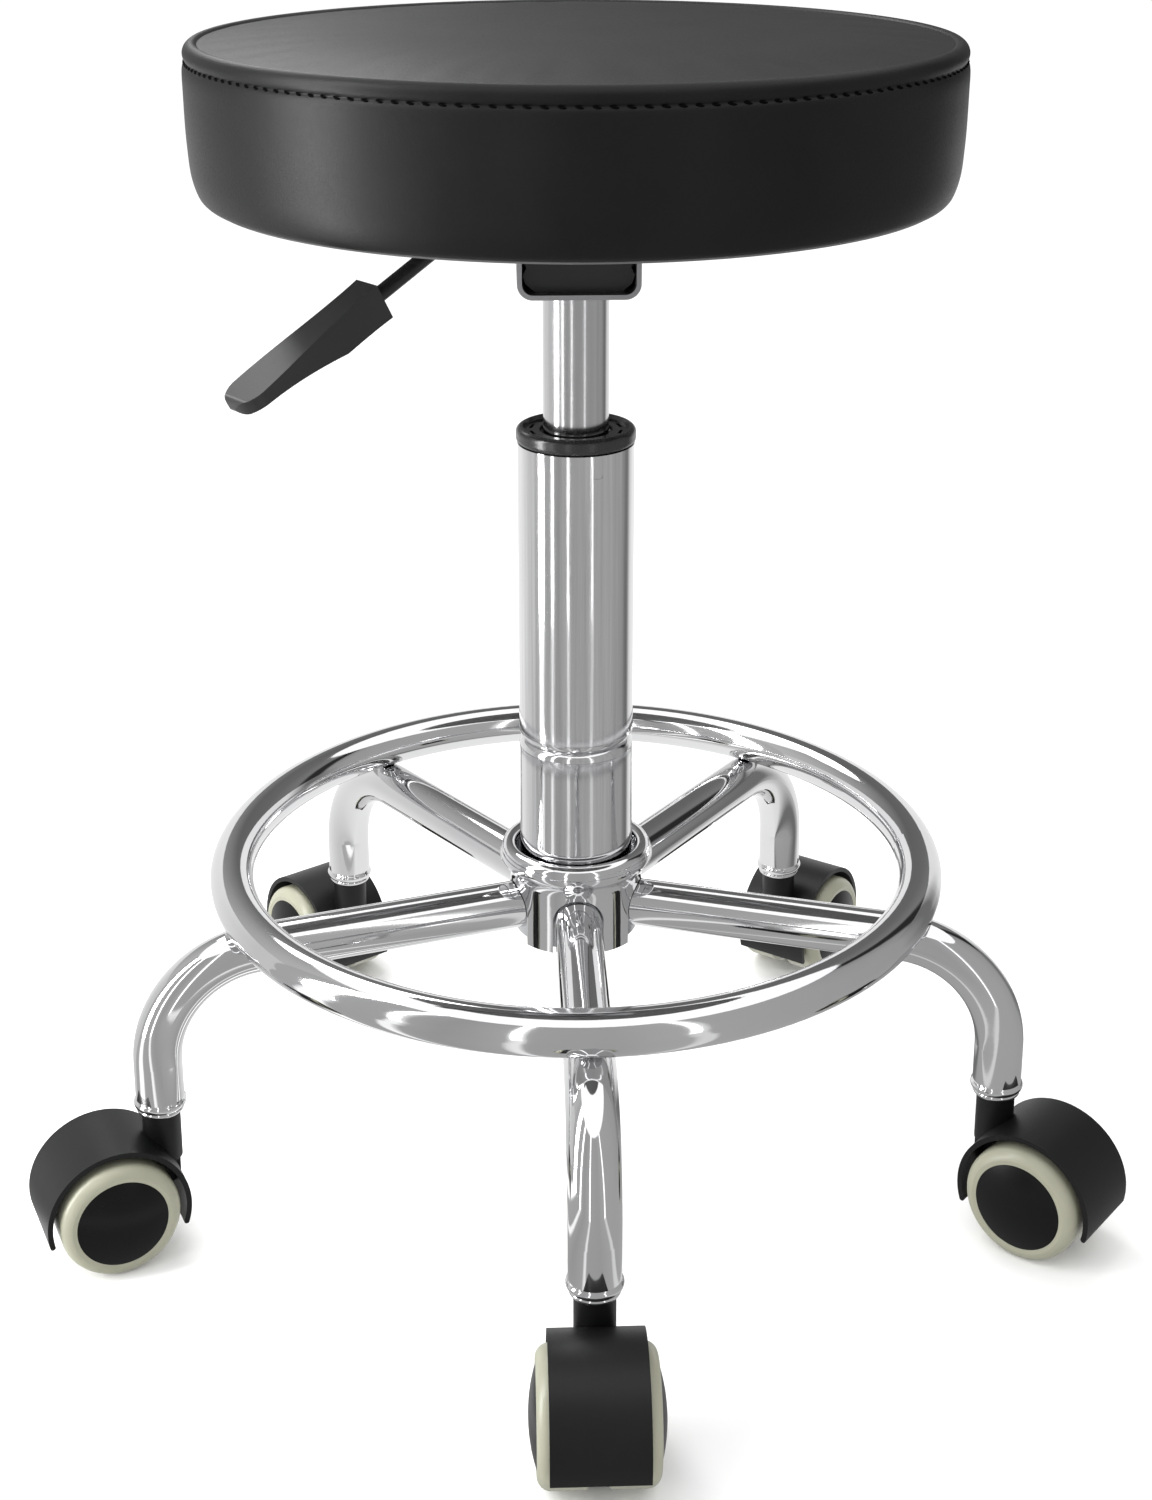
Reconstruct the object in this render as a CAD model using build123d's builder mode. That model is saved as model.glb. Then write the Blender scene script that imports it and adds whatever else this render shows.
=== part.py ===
from build123d import *
import math
import os

# Adjustable swivel stool. Millimetres, +Z up, floor at z = 0.
# The origin is on the floor at the middle of the footprint's box; the column
# axis stands COLUMN_Y behind it, because a five-legged base is not symmetric
# front to back. The front leg points towards -Y.

# ---------------------------------------------------------------- dimensions
COLUMN_Y = 18.2            # column axis behind the middle of the footprint

# seat
SEAT_R = 157.5             # outside of the upholstery
SEAT_TOP = 517.0           # flat top of the cushion
SEAT_EDGE_R = 7.5          # rounded top edge
SEAT_UNDER = 455.5         # underside of the upholstery
PANEL_R = 150.0            # grey bottom panel
PANEL_T = 3.5
COVER_T = 2.0
BOARD_T = 12.0
BOARD_R = 146.0             # the foam wraps round the board's edge
COVER_OPENING_R = 138.0    # the cover is turned in under the board to here

# bracket and release mechanism
BRACKET_W = 50.0
BRACKET_T = 2.0
BRACKET_L = 72.0
BRACKET_BOTTOM = 414.0
BRACKET_FLANGE = 23.0
BOLT_X, BOLT_Y = 37.5, 15.0
BOLT_R = 3.0

# lever
LEVER_AZ = 53.0            # from -Y towards -X
LEVER_Z = 440.0
LEVER_ROD_R = 3.15
LEVER_PIVOT_R = 16.0       # pivot pin, out from the column axis
LEVER_PIN_R = 2.0
LEVER_SLOPE = 28.0
HANDLE_ROOT = (100.7, 421.0)

# gas spring
CYL_R = 14.0
CYL_BORE_R = 12.0
CYL_BOTTOM = 183.0
CYL_TOP = 431.5
ROD_R = 4.95
PISTON_R = 11.92
STEM_R = 3.0               # release pin

# column
COL_R = 25.0
COL_WALL = 2.0
COL_BOTTOM = 119.0
COL_TOP = 345.0
GROOVE_Z = 210.5
BUSH_FLANGE_R = 25.6
BUSH_FLANGE_T = 7.0
BUSH_BORE_R = CYL_R + 0.05

# hub
HUB_BOTTOM = 117.0
HUB_TOP = 160.0
HUB_R = 29.6
HUB_LIP_R = 34.2
CORE_R = 27.5

# legs and foot ring
LEG_R = 10.5
LEG_WALL = 1.5
LEG_Z = 132.0
LEG_OUT = 192.0            # caster stem axis, out from the column axis
LEG_BEND = 45.0
LEG_END_Z = 69.5
COLLAR_BOTTOM = 63.0
RING_R = 153.3
RING_TUBE_R = 9.5
RING_WALL = 1.4
RING_Z = 151.3

# casters
WHEEL_R = 26.0
TRAIL = 24.5
AXLE_R = 3.0
HOOD_OUT_R = 31.2
HOOD_T = 2.3
HOOD_HALF_W = 18.8
NECK_R = 8.3
NECK_TOP = 62.5
CSTEM_R = 5.5
CSTEM_BOTTOM = 51.3
CORE_RIM_R = 19.7
WHEEL_IN = 2.7             # inner face of a wheel, from the caster's middle
TREAD_OUT = 23.6
DOME_OUT = 26.2

# leg name: direction of the leg and of its caster, degrees from -Y towards -X
LEGS = {
    "front": (0.0, 0.0),
    "left": (72.0, 67.4),
    "rear_left": (144.0, 144.0),
    "rear_right": (216.0, 216.0),
    "right": (288.0, 310.0),
}

# ------------------------------------------------------------ planes and axes
FLOOR = Plane(origin=(0, COLUMN_Y, 0))
SECTION = Plane(origin=(0, COLUMN_Y, 0), x_dir=(1, 0, 0), z_dir=(0, -1, 0))
COLUMN_AXIS = Axis((0, COLUMN_Y, 0), (0, 0, 1))


def outwards(angle):
    a = math.radians(angle)
    return (-math.sin(a), -math.cos(a))


def radial_plane(angle, at=0.0):
    """Upright plane: local x runs outwards at this angle, local y is up."""
    x, y = outwards(angle)
    return Plane(origin=(at * x, COLUMN_Y + at * y, 0), x_dir=(x, y, 0), z_dir=(y, -x, 0))


LEG_POINTS = [
    (LEG_OUT * outwards(a)[0], LEG_OUT * outwards(a)[1]) for a, _ in LEGS.values()
]

os.makedirs("parts", exist_ok=True)

# ================================================================= the column
# outer tube with one rolled groove
with BuildPart() as column_tube:
    with BuildSketch(SECTION):
        with BuildLine():
            o1 = Line((COL_R, COL_BOTTOM + 1.0), (COL_R, GROOVE_Z - 4.5))
            o2 = ThreePointArc(o1 @ 1, (COL_R - 0.45, GROOVE_Z - 1.9), (COL_R - 1.7, GROOVE_Z - 0.35))
            o3 = Line(o2 @ 1, (COL_R - 1.7, GROOVE_Z + 0.35))
            o4 = ThreePointArc(o3 @ 1, (COL_R - 0.45, GROOVE_Z + 1.9), (COL_R, GROOVE_Z + 4.5))
            o5 = Line(o4 @ 1, (COL_R, COL_TOP))
            i1 = Line(o5 @ 1, (COL_R - COL_WALL, COL_TOP))
            i2 = Line(i1 @ 1, (COL_R - COL_WALL, GROOVE_Z + 5.5))
            i3 = Line(i2 @ 1, (COL_R - COL_WALL - 1.4, GROOVE_Z + 1.5))
            i4 = Line(i3 @ 1, (COL_R - COL_WALL - 1.4, GROOVE_Z - 1.5))
            i5 = Line(i4 @ 1, (COL_R - COL_WALL, GROOVE_Z - 5.5))
            i6 = Line(i5 @ 1, (COL_R - COL_WALL, COL_BOTTOM))
            i7 = Line(i6 @ 1, (COL_R - 1.0, COL_BOTTOM))
            i8 = Line(i7 @ 1, o1 @ 0)
        make_face()
    revolve(axis=COLUMN_AXIS)
    # two small stake marks near the top that hold the guide bush
    for side in (-19.5, 160.5):
        stake_dir = outwards(side)
        stake_plane = Plane(
            origin=((COL_R - 0.55) * stake_dir[0], COLUMN_Y + (COL_R - 0.55) * stake_dir[1], 336.0),
            x_dir=(-stake_dir[1], stake_dir[0], 0),
            z_dir=(stake_dir[0], stake_dir[1], 0),
        )
        with BuildSketch(stake_plane):
            SlotOverall(4.4, 2.0)
        extrude(amount=3, mode=Mode.SUBTRACT)
column_tube.part.label = "column_tube"
export_step(column_tube.part, "parts/column_tube.step")

# end plate that closes the tube and carries the thrust bearing
with BuildPart() as column_end_plate:
    with BuildSketch(FLOOR.offset(COL_BOTTOM)):
        Circle(COL_R - COL_WALL)
        Circle(ROD_R + 0.05, mode=Mode.SUBTRACT)
    extrude(amount=3.0)
column_end_plate.part.label = "column_end_plate"
export_step(column_end_plate.part, "parts/column_end_plate.step")

# guide bush: flange on top of the tube, long spigot inside it
with BuildPart() as guide_bush:
    with BuildSketch(SECTION):
        with BuildLine():
            Polyline(
                (BUSH_BORE_R, COL_TOP - 45),
                (COL_R - COL_WALL, COL_TOP - 45),
                (COL_R - COL_WALL, COL_TOP),
                (BUSH_FLANGE_R, COL_TOP),
                (BUSH_FLANGE_R, COL_TOP + BUSH_FLANGE_T),
                (22.6, COL_TOP + BUSH_FLANGE_T),
                (22.0, COL_TOP + BUSH_FLANGE_T - 1.6),
                (15.6, COL_TOP + BUSH_FLANGE_T - 1.6),
                (15.6, COL_TOP + BUSH_FLANGE_T - 3.4),
                (BUSH_BORE_R, COL_TOP + BUSH_FLANGE_T - 4.2),
                close=True,
            )
        make_face()
    revolve(axis=COLUMN_AXIS)
    fillet(
        guide_bush.edges().filter_by(GeomType.CIRCLE).filter_by(
            lambda e: abs(e.radius - BUSH_FLANGE_R) < 0.01
        ),
        2.4,
    )
    with BuildSketch(FLOOR.offset(COL_TOP + BUSH_FLANGE_T - 1.6)):
        with PolarLocations(19.2, 12, start_angle=15):
            SlotOverall(6.0, 1.3, rotation=90)
    extrude(amount=-1.2, mode=Mode.SUBTRACT)
guide_bush.part.label = "guide_bush"
export_step(guide_bush.part, "parts/guide_bush.step")

# ============================================================ hub, legs, ring
with BuildPart() as hub_core:
    with BuildSketch(FLOOR.offset(COL_BOTTOM)):
        Circle(CORE_R)
        Circle(COL_R, mode=Mode.SUBTRACT)
    extrude(amount=30.0)
hub_core.part.label = "hub_core"
export_step(hub_core.part, "parts/hub_core.step")

# pressed cover with a rolled lip, notched over each leg
with BuildPart() as hub_cover:
    with BuildSketch(SECTION):
        with BuildLine():
            h1 = Line((CORE_R, HUB_BOTTOM), (HUB_R - 0.1, HUB_BOTTOM))
            h2 = Line(h1 @ 1, (HUB_R, 144.5))
            h3 = ThreePointArc(h2 @ 1, (HUB_R + 1.15, 148.6), (HUB_LIP_R - 0.9, 151.4))
            h4 = ThreePointArc(h3 @ 1, (HUB_LIP_R, 153.8), (HUB_LIP_R - 0.75, 156.6))
            h5 = ThreePointArc(h4 @ 1, (HUB_LIP_R - 2.4, 159.2), (HUB_LIP_R - 4.6, HUB_TOP))
            h6 = ThreePointArc(h5 @ 1, (27.6, 159.2), (26.8, 157.4))
            h7 = Line(h6 @ 1, (26.8, 151.5))
            h8 = Line(h7 @ 1, (CORE_R, 150.2))
            h9 = Line(h8 @ 1, h1 @ 0)
        make_face()
    revolve(axis=COLUMN_AXIS)
    for angle, _ in LEGS.values():
        x, y = outwards(angle)
        with BuildSketch(Plane(origin=(15 * x, COLUMN_Y + 15 * y, LEG_Z), x_dir=(-y, x, 0), z_dir=(x, y, 0))):
            Circle(LEG_R + 0.7)
            with Locations((0, -15)):
                Rectangle(2 * LEG_R + 1.4, 30)
        extrude(amount=30, mode=Mode.SUBTRACT)
hub_cover.part.label = "hub_cover"
export_step(hub_cover.part, "parts/hub_cover.step")

# five bent tubes: straight out from the hub core, then down to the caster
for leg_name, (angle, _) in LEGS.items():
    with BuildPart() as leg:
        with BuildLine(radial_plane(angle)) as leg_path:
            p1 = Line((20.0, LEG_Z), (LEG_OUT - LEG_BEND, LEG_Z))
            p2 = JernArc(start=p1 @ 1, tangent=(1, 0), radius=LEG_BEND, arc_size=-90)
            p3 = Line(p2 @ 1, (LEG_OUT, LEG_END_Z))
        with BuildSketch(Plane(origin=leg_path.line @ 0, z_dir=leg_path.line % 0)):
            Circle(LEG_R)
            Circle(LEG_R - LEG_WALL, mode=Mode.SUBTRACT)
        sweep()
        # saddle where the tube is welded to the round core
        with BuildSketch(FLOOR.offset(LEG_Z - 30)):
            Circle(CORE_R)
        extrude(amount=60, mode=Mode.SUBTRACT)
    leg.part.label = f"leg_{leg_name}"
    export_step(leg.part, f"parts/leg_{leg_name}.step")

# foot ring: a bent tube that rests in shallow saddles on the legs
with BuildPart() as foot_ring:
    with BuildSketch(SECTION):
        with Locations((RING_R, RING_Z)):
            Circle(RING_TUBE_R)
            Circle(RING_TUBE_R - RING_WALL, mode=Mode.SUBTRACT)
    revolve(axis=COLUMN_AXIS)
    for angle, _ in LEGS.values():
        x, y = outwards(angle)
        with BuildLine(radial_plane(angle)) as saddle_path:
            s1 = Line((RING_R - 20, LEG_Z), (LEG_OUT - LEG_BEND, LEG_Z))
            s2 = JernArc(start=s1 @ 1, tangent=(1, 0), radius=LEG_BEND, arc_size=-60)
        with BuildSketch(Plane(origin=saddle_path.line @ 0, z_dir=saddle_path.line % 0)):
            Circle(LEG_R)
        sweep(mode=Mode.SUBTRACT)
foot_ring.part.label = "foot_ring"
export_step(foot_ring.part, "parts/foot_ring.step")

# sockets pressed in the leg ends: beaded collar outside, sleeve inside
with BuildPart() as leg_end_sockets:
    for angle, _ in LEGS.values():
        x, y = outwards(angle)
        with BuildSketch(radial_plane(angle, LEG_OUT)):
            with BuildLine():
                c1 = Line((CSTEM_R, COLLAR_BOTTOM), (9.4, COLLAR_BOTTOM))
                c2 = ThreePointArc(c1 @ 1, (10.25, COLLAR_BOTTOM + 1.0), (9.9, COLLAR_BOTTOM + 2.1))
                c3 = ThreePointArc(c2 @ 1, (11.35, COLLAR_BOTTOM + 3.9), (10.7, COLLAR_BOTTOM + 5.9))
                c4 = Line(c3 @ 1, (LEG_R, LEG_END_Z))
                c5 = Line(c4 @ 1, (LEG_R - LEG_WALL - 0.03, LEG_END_Z))
                c6 = Line(c5 @ 1, (LEG_R - LEG_WALL - 0.03, LEG_END_Z + 18))
                c7 = Line(c6 @ 1, (CSTEM_R, LEG_END_Z + 18))
                c8 = Line(c7 @ 1, c1 @ 0)
            make_face()
        revolve(axis=Axis((LEG_OUT * x, COLUMN_Y + LEG_OUT * y, 0), (0, 0, 1)))
leg_end_sockets.part.label = "leg_end_sockets"
export_step(leg_end_sockets.part, "parts/leg_end_sockets.step")

# steel stems pressed in the sockets; the caster hoods turn on their lower ends
with BuildPart() as caster_stems:
    with BuildSketch(FLOOR.offset(CSTEM_BOTTOM)):
        with Locations(*LEG_POINTS):
            Circle(CSTEM_R)
    extrude(amount=LEG_END_Z + 16 - CSTEM_BOTTOM)
    chamfer(
        caster_stems.edges().filter_by(GeomType.CIRCLE).group_by(Axis.Z)[-1], 0.8
    )
    chamfer(
        caster_stems.edges().filter_by(GeomType.CIRCLE).group_by(Axis.Z)[0], 0.6
    )
caster_stems.part.label = "caster_stems"
export_step(caster_stems.part, "parts/caster_stems.step")

# ============================================================== gas spring
# rod with its piston, held in the column end plate
with BuildPart() as piston_rod:
    with BuildSketch(SECTION):
        Polygon(
            (0, 113.0),
            (ROD_R - 0.8, 113.0),
            (ROD_R, 113.8),
            (ROD_R, 115.4),
            (ROD_R - 1.0, 115.4),
            (ROD_R - 1.0, 117.0),
            (ROD_R, 117.0),
            (ROD_R, 280.0),
            (PISTON_R, 280.0),
            (PISTON_R, 284.0),
            (PISTON_R - 1.2, 284.0),
            (PISTON_R - 1.2, 287.0),
            (PISTON_R, 287.0),
            (PISTON_R, 291.0),
            (0, 291.0),
            align=None,
        )
    revolve(axis=COLUMN_AXIS)
piston_rod.part.label = "piston_rod"
export_step(piston_rod.part, "parts/piston_rod.step")

# snap ring and washer under the end plate, in the rod's groove
with BuildPart() as retaining_clip:
    with BuildSketch(FLOOR.offset(115.5)):
        Circle(9.0)
        Circle(ROD_R - 1.0, mode=Mode.SUBTRACT)
        with Locations((0, -8)):
            Rectangle(4.2, 10, mode=Mode.SUBTRACT)
    extrude(amount=1.4)
    with BuildSketch(FLOOR.offset(117.3)):
        Circle(11.0)
        Circle(ROD_R, mode=Mode.SUBTRACT)
    extrude(amount=1.4)
retaining_clip.part.label = "retaining_clip"
export_step(retaining_clip.part, "parts/retaining_clip.step")

# thrust bearing: two races with a ring of balls between them
with BuildPart() as thrust_bearing:
    with BuildSketch(FLOOR.offset(COL_BOTTOM + 3.3)):
        Circle(13.0)
        Circle(ROD_R, mode=Mode.SUBTRACT)
    extrude(amount=1.2)
    with BuildSketch(FLOOR.offset(COL_BOTTOM + 7.5)):
        Circle(13.0)
        Circle(ROD_R, mode=Mode.SUBTRACT)
    extrude(amount=1.2)
    with Locations(FLOOR.offset(COL_BOTTOM + 6.0)):
        with PolarLocations(9.0, 12):
            Sphere(1.49)
thrust_bearing.part.label = "thrust_bearing"
export_step(thrust_bearing.part, "parts/thrust_bearing.step")

# rubber ring that stops the seat softly at its lowest
with BuildPart() as buffer_ring:
    with BuildSketch(FLOOR.offset(COL_BOTTOM + 8.7)):
        Circle(12.5)
        Circle(ROD_R, mode=Mode.SUBTRACT)
    extrude(amount=4.6)
    fillet(
        buffer_ring.edges().filter_by(GeomType.CIRCLE).filter_by(lambda e: e.radius > 12), 1.2
    )
buffer_ring.part.label = "buffer_ring"
export_step(buffer_ring.part, "parts/buffer_ring.step")

# pressure tube: guide for the rod at the bottom, valve head at the top
with BuildPart() as gas_cylinder:
    with BuildSketch(SECTION):
        Polygon(
            (ROD_R + 0.05, CYL_BOTTOM),
            (CYL_R - 1.2, CYL_BOTTOM),
            (CYL_R, CYL_BOTTOM + 1.2),
            (CYL_R, BRACKET_BOTTOM + 1.0),
            (CYL_R - 0.5, CYL_TOP),
            (4.1, CYL_TOP),
            (4.1, CYL_TOP - 6.0),
            (STEM_R + 0.05, CYL_TOP - 6.0),
            (STEM_R + 0.05, CYL_TOP - 20.0),
            (CYL_BORE_R, CYL_TOP - 20.0),
            (CYL_BORE_R, CYL_BOTTOM + 10.0),
            (ROD_R + 0.05, CYL_BOTTOM + 10.0),
            align=None,
        )
    revolve(axis=COLUMN_AXIS)
gas_cylinder.part.label = "gas_cylinder"
export_step(gas_cylinder.part, "parts/gas_cylinder.step")

# release pin in the valve head
PIN_TOP = LEVER_Z - LEVER_ROD_R - 0.5
with BuildPart() as release_pin:
    with BuildSketch(SECTION):
        with BuildLine():
            r1 = Line((0, CYL_TOP - 13.0), (STEM_R, CYL_TOP - 13.0))
            r2 = Line(r1 @ 1, (STEM_R, PIN_TOP - 1.4))
            r3 = ThreePointArc(r2 @ 1, (STEM_R - 0.6, PIN_TOP - 0.45), (STEM_R - 1.8, PIN_TOP))
            r4 = Polyline(r3 @ 1, (0, PIN_TOP), r1 @ 0)
        make_face()
    revolve(axis=COLUMN_AXIS)
release_pin.part.label = "release_pin"
export_step(release_pin.part, "parts/release_pin.step")

# ===================================================== bracket and mechanism
lever_out = outwards(LEVER_AZ)
PANEL_BOTTOM = SEAT_UNDER - PANEL_T

# folded U channel, open at the front and back, with bolted flanges
with BuildPart() as seat_bracket:
    with BuildSketch(SECTION.offset(-BRACKET_L / 2)):
        with BuildLine():
            Polyline(
                (-BRACKET_W / 2 - BRACKET_FLANGE, PANEL_BOTTOM),
                (-BRACKET_W / 2 + BRACKET_T, PANEL_BOTTOM),
                (-BRACKET_W / 2 + BRACKET_T, BRACKET_BOTTOM + BRACKET_T),
                (BRACKET_W / 2 - BRACKET_T, BRACKET_BOTTOM + BRACKET_T),
                (BRACKET_W / 2 - BRACKET_T, PANEL_BOTTOM),
                (BRACKET_W / 2 + BRACKET_FLANGE, PANEL_BOTTOM),
                (BRACKET_W / 2 + BRACKET_FLANGE, PANEL_BOTTOM - BRACKET_T),
                (BRACKET_W / 2, PANEL_BOTTOM - BRACKET_T),
                (BRACKET_W / 2, BRACKET_BOTTOM),
                (-BRACKET_W / 2, BRACKET_BOTTOM),
                (-BRACKET_W / 2, PANEL_BOTTOM - BRACKET_T),
                (-BRACKET_W / 2 - BRACKET_FLANGE, PANEL_BOTTOM - BRACKET_T),
                close=True,
            )
        make_face()
    extrude(amount=BRACKET_L)
    # folds: round outside and inside the two lower corners and the flange folds
    fillet(
        seat_bracket.edges().filter_by(Axis.Y).filter_by(
            lambda e: abs(e.center().Z - BRACKET_BOTTOM) < 0.01
        ),
        6.5,
    )
    fillet(
        seat_bracket.edges().filter_by(Axis.Y).filter_by(
            lambda e: abs(e.center().Z - BRACKET_BOTTOM - BRACKET_T) < 0.01
        ),
        4.5,
    )
    # hole for the cylinder's taper
    with BuildSketch(FLOOR.offset(BRACKET_BOTTOM - 1)):
        Circle(CYL_R)
    extrude(amount=4, mode=Mode.SUBTRACT)
    # bolt holes
    with BuildSketch(FLOOR.offset(PANEL_BOTTOM - BRACKET_T - 1)):
        with GridLocations(2 * BOLT_X, 2 * BOLT_Y, 2, 2):
            Circle(BOLT_R)
    extrude(amount=BRACKET_T + 2, mode=Mode.SUBTRACT)
    # window in the left wall for the lever
    with BuildSketch(Plane(origin=(20 * lever_out[0], COLUMN_Y + 20 * lever_out[1], LEVER_Z + 1.2), x_dir=(-lever_out[1], lever_out[0], 0), z_dir=(lever_out[0], lever_out[1], 0))):
        SlotOverall(14.0, 9.0, rotation=90)
    extrude(amount=22, mode=Mode.SUBTRACT)
seat_bracket.part.label = "seat_bracket"
export_step(seat_bracket.part, "parts/seat_bracket.step")

# block inside the channel: taper socket below, lever slot above
BLOCK_TOP = 447.5
with BuildPart() as mechanism_block:
    with BuildSketch(SECTION.offset(-30.0)):
        with BuildLine():
            Polyline(
                (-17.5, BRACKET_BOTTOM + BRACKET_T),
                (-21.5, BRACKET_BOTTOM + BRACKET_T + 3.5),
                (-22.6, BRACKET_BOTTOM + 9.0),
                (-21.0, BRACKET_BOTTOM + 12.0),
                (-22.6, BRACKET_BOTTOM + 15.5),
                (-20.8, BRACKET_BOTTOM + 21.5),
                (-20.8, BLOCK_TOP),
                (20.8, BLOCK_TOP),
                (20.8, BRACKET_BOTTOM + 21.5),
                (22.6, BRACKET_BOTTOM + 15.5),
                (21.0, BRACKET_BOTTOM + 12.0),
                (22.6, BRACKET_BOTTOM + 9.0),
                (21.5, BRACKET_BOTTOM + BRACKET_T + 3.5),
                (17.5, BRACKET_BOTTOM + BRACKET_T),
                close=True,
            )
        make_face()
    extrude(amount=60.0)
    # taper socket
    with BuildSketch(SECTION):
        Polygon(
            (0, BRACKET_BOTTOM + 1.0),
            (CYL_R, BRACKET_BOTTOM + 1.0),
            (CYL_R - 0.5, CYL_TOP),
            (CYL_R - 0.5, BLOCK_TOP + 1),
            (0, BLOCK_TOP + 1),
            align=None,
        )
    revolve(axis=COLUMN_AXIS, mode=Mode.SUBTRACT)
    # slot for the lever
    with BuildSketch(radial_plane(LEVER_AZ).offset(-4.4)):
        with BuildLine():
            Polyline((-12.0, CYL_TOP), (45.0, CYL_TOP), (45.0, BLOCK_TOP + 1), (-12.0, BLOCK_TOP + 1), close=True)
        make_face()
    extrude(amount=8.8, mode=Mode.SUBTRACT)
    # holes for the pivot pin
    with BuildSketch(radial_plane(LEVER_AZ).offset(-10.0)):
        with Locations((LEVER_PIVOT_R, LEVER_Z)):
            Circle(LEVER_PIN_R)
    extrude(amount=20.0, mode=Mode.SUBTRACT)
mechanism_block.part.label = "mechanism_block"
export_step(mechanism_block.part, "parts/mechanism_block.step")

with BuildPart() as lever_pin:
    with BuildSketch(radial_plane(LEVER_AZ).offset(-9.0)):
        with Locations((LEVER_PIVOT_R, LEVER_Z)):
            Circle(LEVER_PIN_R)
    extrude(amount=18.0)
lever_pin.part.label = "lever_pin"
export_step(lever_pin.part, "parts/lever_pin.step")

# lever rod: straight over the release pin, bent down towards the handle
slope = math.radians(LEVER_SLOPE)
along = (math.cos(slope), -math.sin(slope))
up_n = (math.sin(slope), math.cos(slope))
BEND_AT = HANDLE_ROOT[0] - (LEVER_Z - HANDLE_ROOT[1]) / math.tan(slope)


def on_handle(s, t):
    """Point in the lever's upright plane, s along the handle and t above its rod."""
    return (HANDLE_ROOT[0] + s * along[0] + t * up_n[0], HANDLE_ROOT[1] + s * along[1] + t * up_n[1])


with BuildPart() as lever_rod:
    with BuildLine(radial_plane(LEVER_AZ)) as rod_path:
        FilletPolyline((-7.0, LEVER_Z), (BEND_AT, LEVER_Z), on_handle(34.0, 0), radius=18.0)
    with BuildSketch(Plane(origin=rod_path.line @ 0, z_dir=rod_path.line % 0)):
        Circle(LEVER_ROD_R)
    sweep()
    # eye for the pivot pin
    with BuildSketch(radial_plane(LEVER_AZ).offset(-3.4)):
        with Locations((LEVER_PIVOT_R, LEVER_Z)):
            Circle(5.4)
    extrude(amount=6.8)
    with BuildSketch(radial_plane(LEVER_AZ).offset(-5.0)):
        with Locations((LEVER_PIVOT_R, LEVER_Z)):
            Circle(LEVER_PIN_R + 0.05)
    extrude(amount=10.0, mode=Mode.SUBTRACT)
lever_rod.part.label = "lever_rod"
export_step(lever_rod.part, "parts/lever_rod.step")

# moulded paddle: deep and narrow at the root, flat and wide at the tip
HANDLE_TOP_PLANE = Plane(
    origin=(
        HANDLE_ROOT[0] * lever_out[0],
        COLUMN_Y + HANDLE_ROOT[0] * lever_out[1],
        HANDLE_ROOT[1],
    ),
    x_dir=(along[0] * lever_out[0], along[0] * lever_out[1], along[1]),
    z_dir=(up_n[0] * lever_out[0], up_n[0] * lever_out[1], up_n[1]),
)
with BuildPart() as lever_handle:
    with BuildSketch(radial_plane(LEVER_AZ).offset(-14.0)):
        with BuildLine():
            a1 = Line(on_handle(0, -7.8), on_handle(0, 7.6))
            a2 = Spline(
                a1 @ 1, on_handle(26, 6.6), on_handle(46, 5.6), on_handle(70, 4.2),
            )
            a3 = ThreePointArc(a2 @ 1, on_handle(73.4, 1.6), on_handle(70, -1.2))
            a4 = Spline(
                a3 @ 1, on_handle(54, -1.6), on_handle(42, -3.4), on_handle(24, -7.6),
            )
            a5 = Line(a4 @ 1, a1 @ 0)
        make_face()
    extrude(amount=28.0)
    with BuildSketch(HANDLE_TOP_PLANE.offset(-14.0)):
        with BuildLine():
            b1 = Line((0, -7.0), (0, 7.0))
            b2 = Spline((0, 7.0), (24, 7.4), (48, 9.6), (64, 10.4))
            b3 = ThreePointArc((64, 10.4), (73.6, 0), (64, -10.4))
            b4 = Spline((64, -10.4), (48, -9.6), (24, -7.4), (0, -7.0))
        make_face()
    extrude(amount=28.0, mode=Mode.INTERSECT)
    # socket for the rod
    with BuildSketch(Plane(origin=HANDLE_TOP_PLANE.origin - HANDLE_TOP_PLANE.x_dir * 4, z_dir=HANDLE_TOP_PLANE.x_dir)):
        Circle(LEVER_ROD_R)
    extrude(amount=38.0, mode=Mode.SUBTRACT)
lever_handle.part.label = "lever_handle"
export_step(lever_handle.part, "parts/lever_handle.step")

# ===================================================================== seat
BOARD_BOTTOM = SEAT_UNDER + 1.5
BOARD_TOP = BOARD_BOTTOM + BOARD_T
INNER_R = SEAT_R - COVER_T

with BuildPart() as bottom_panel:
    with BuildSketch(FLOOR.offset(PANEL_BOTTOM)):
        Circle(PANEL_R)
        with GridLocations(2 * BOLT_X, 2 * BOLT_Y, 2, 2):
            Circle(BOLT_R, mode=Mode.SUBTRACT)
    extrude(amount=PANEL_T)
    chamfer(
        bottom_panel.edges().filter_by(GeomType.CIRCLE).filter_by(
            lambda e: e.radius > 100
        ).group_by(Axis.Z)[0],
        0.8,
    )
    # raised middle that meets the board inside the cover's turned-in edge
    with BuildSketch(FLOOR.offset(SEAT_UNDER)):
        Circle(COVER_OPENING_R - 1.0)
        with GridLocations(2 * BOLT_X, 2 * BOLT_Y, 2, 2):
            Circle(BOLT_R, mode=Mode.SUBTRACT)
    extrude(amount=BOARD_BOTTOM - SEAT_UNDER)
bottom_panel.part.label = "bottom_panel"
export_step(bottom_panel.part, "parts/bottom_panel.step")

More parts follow.
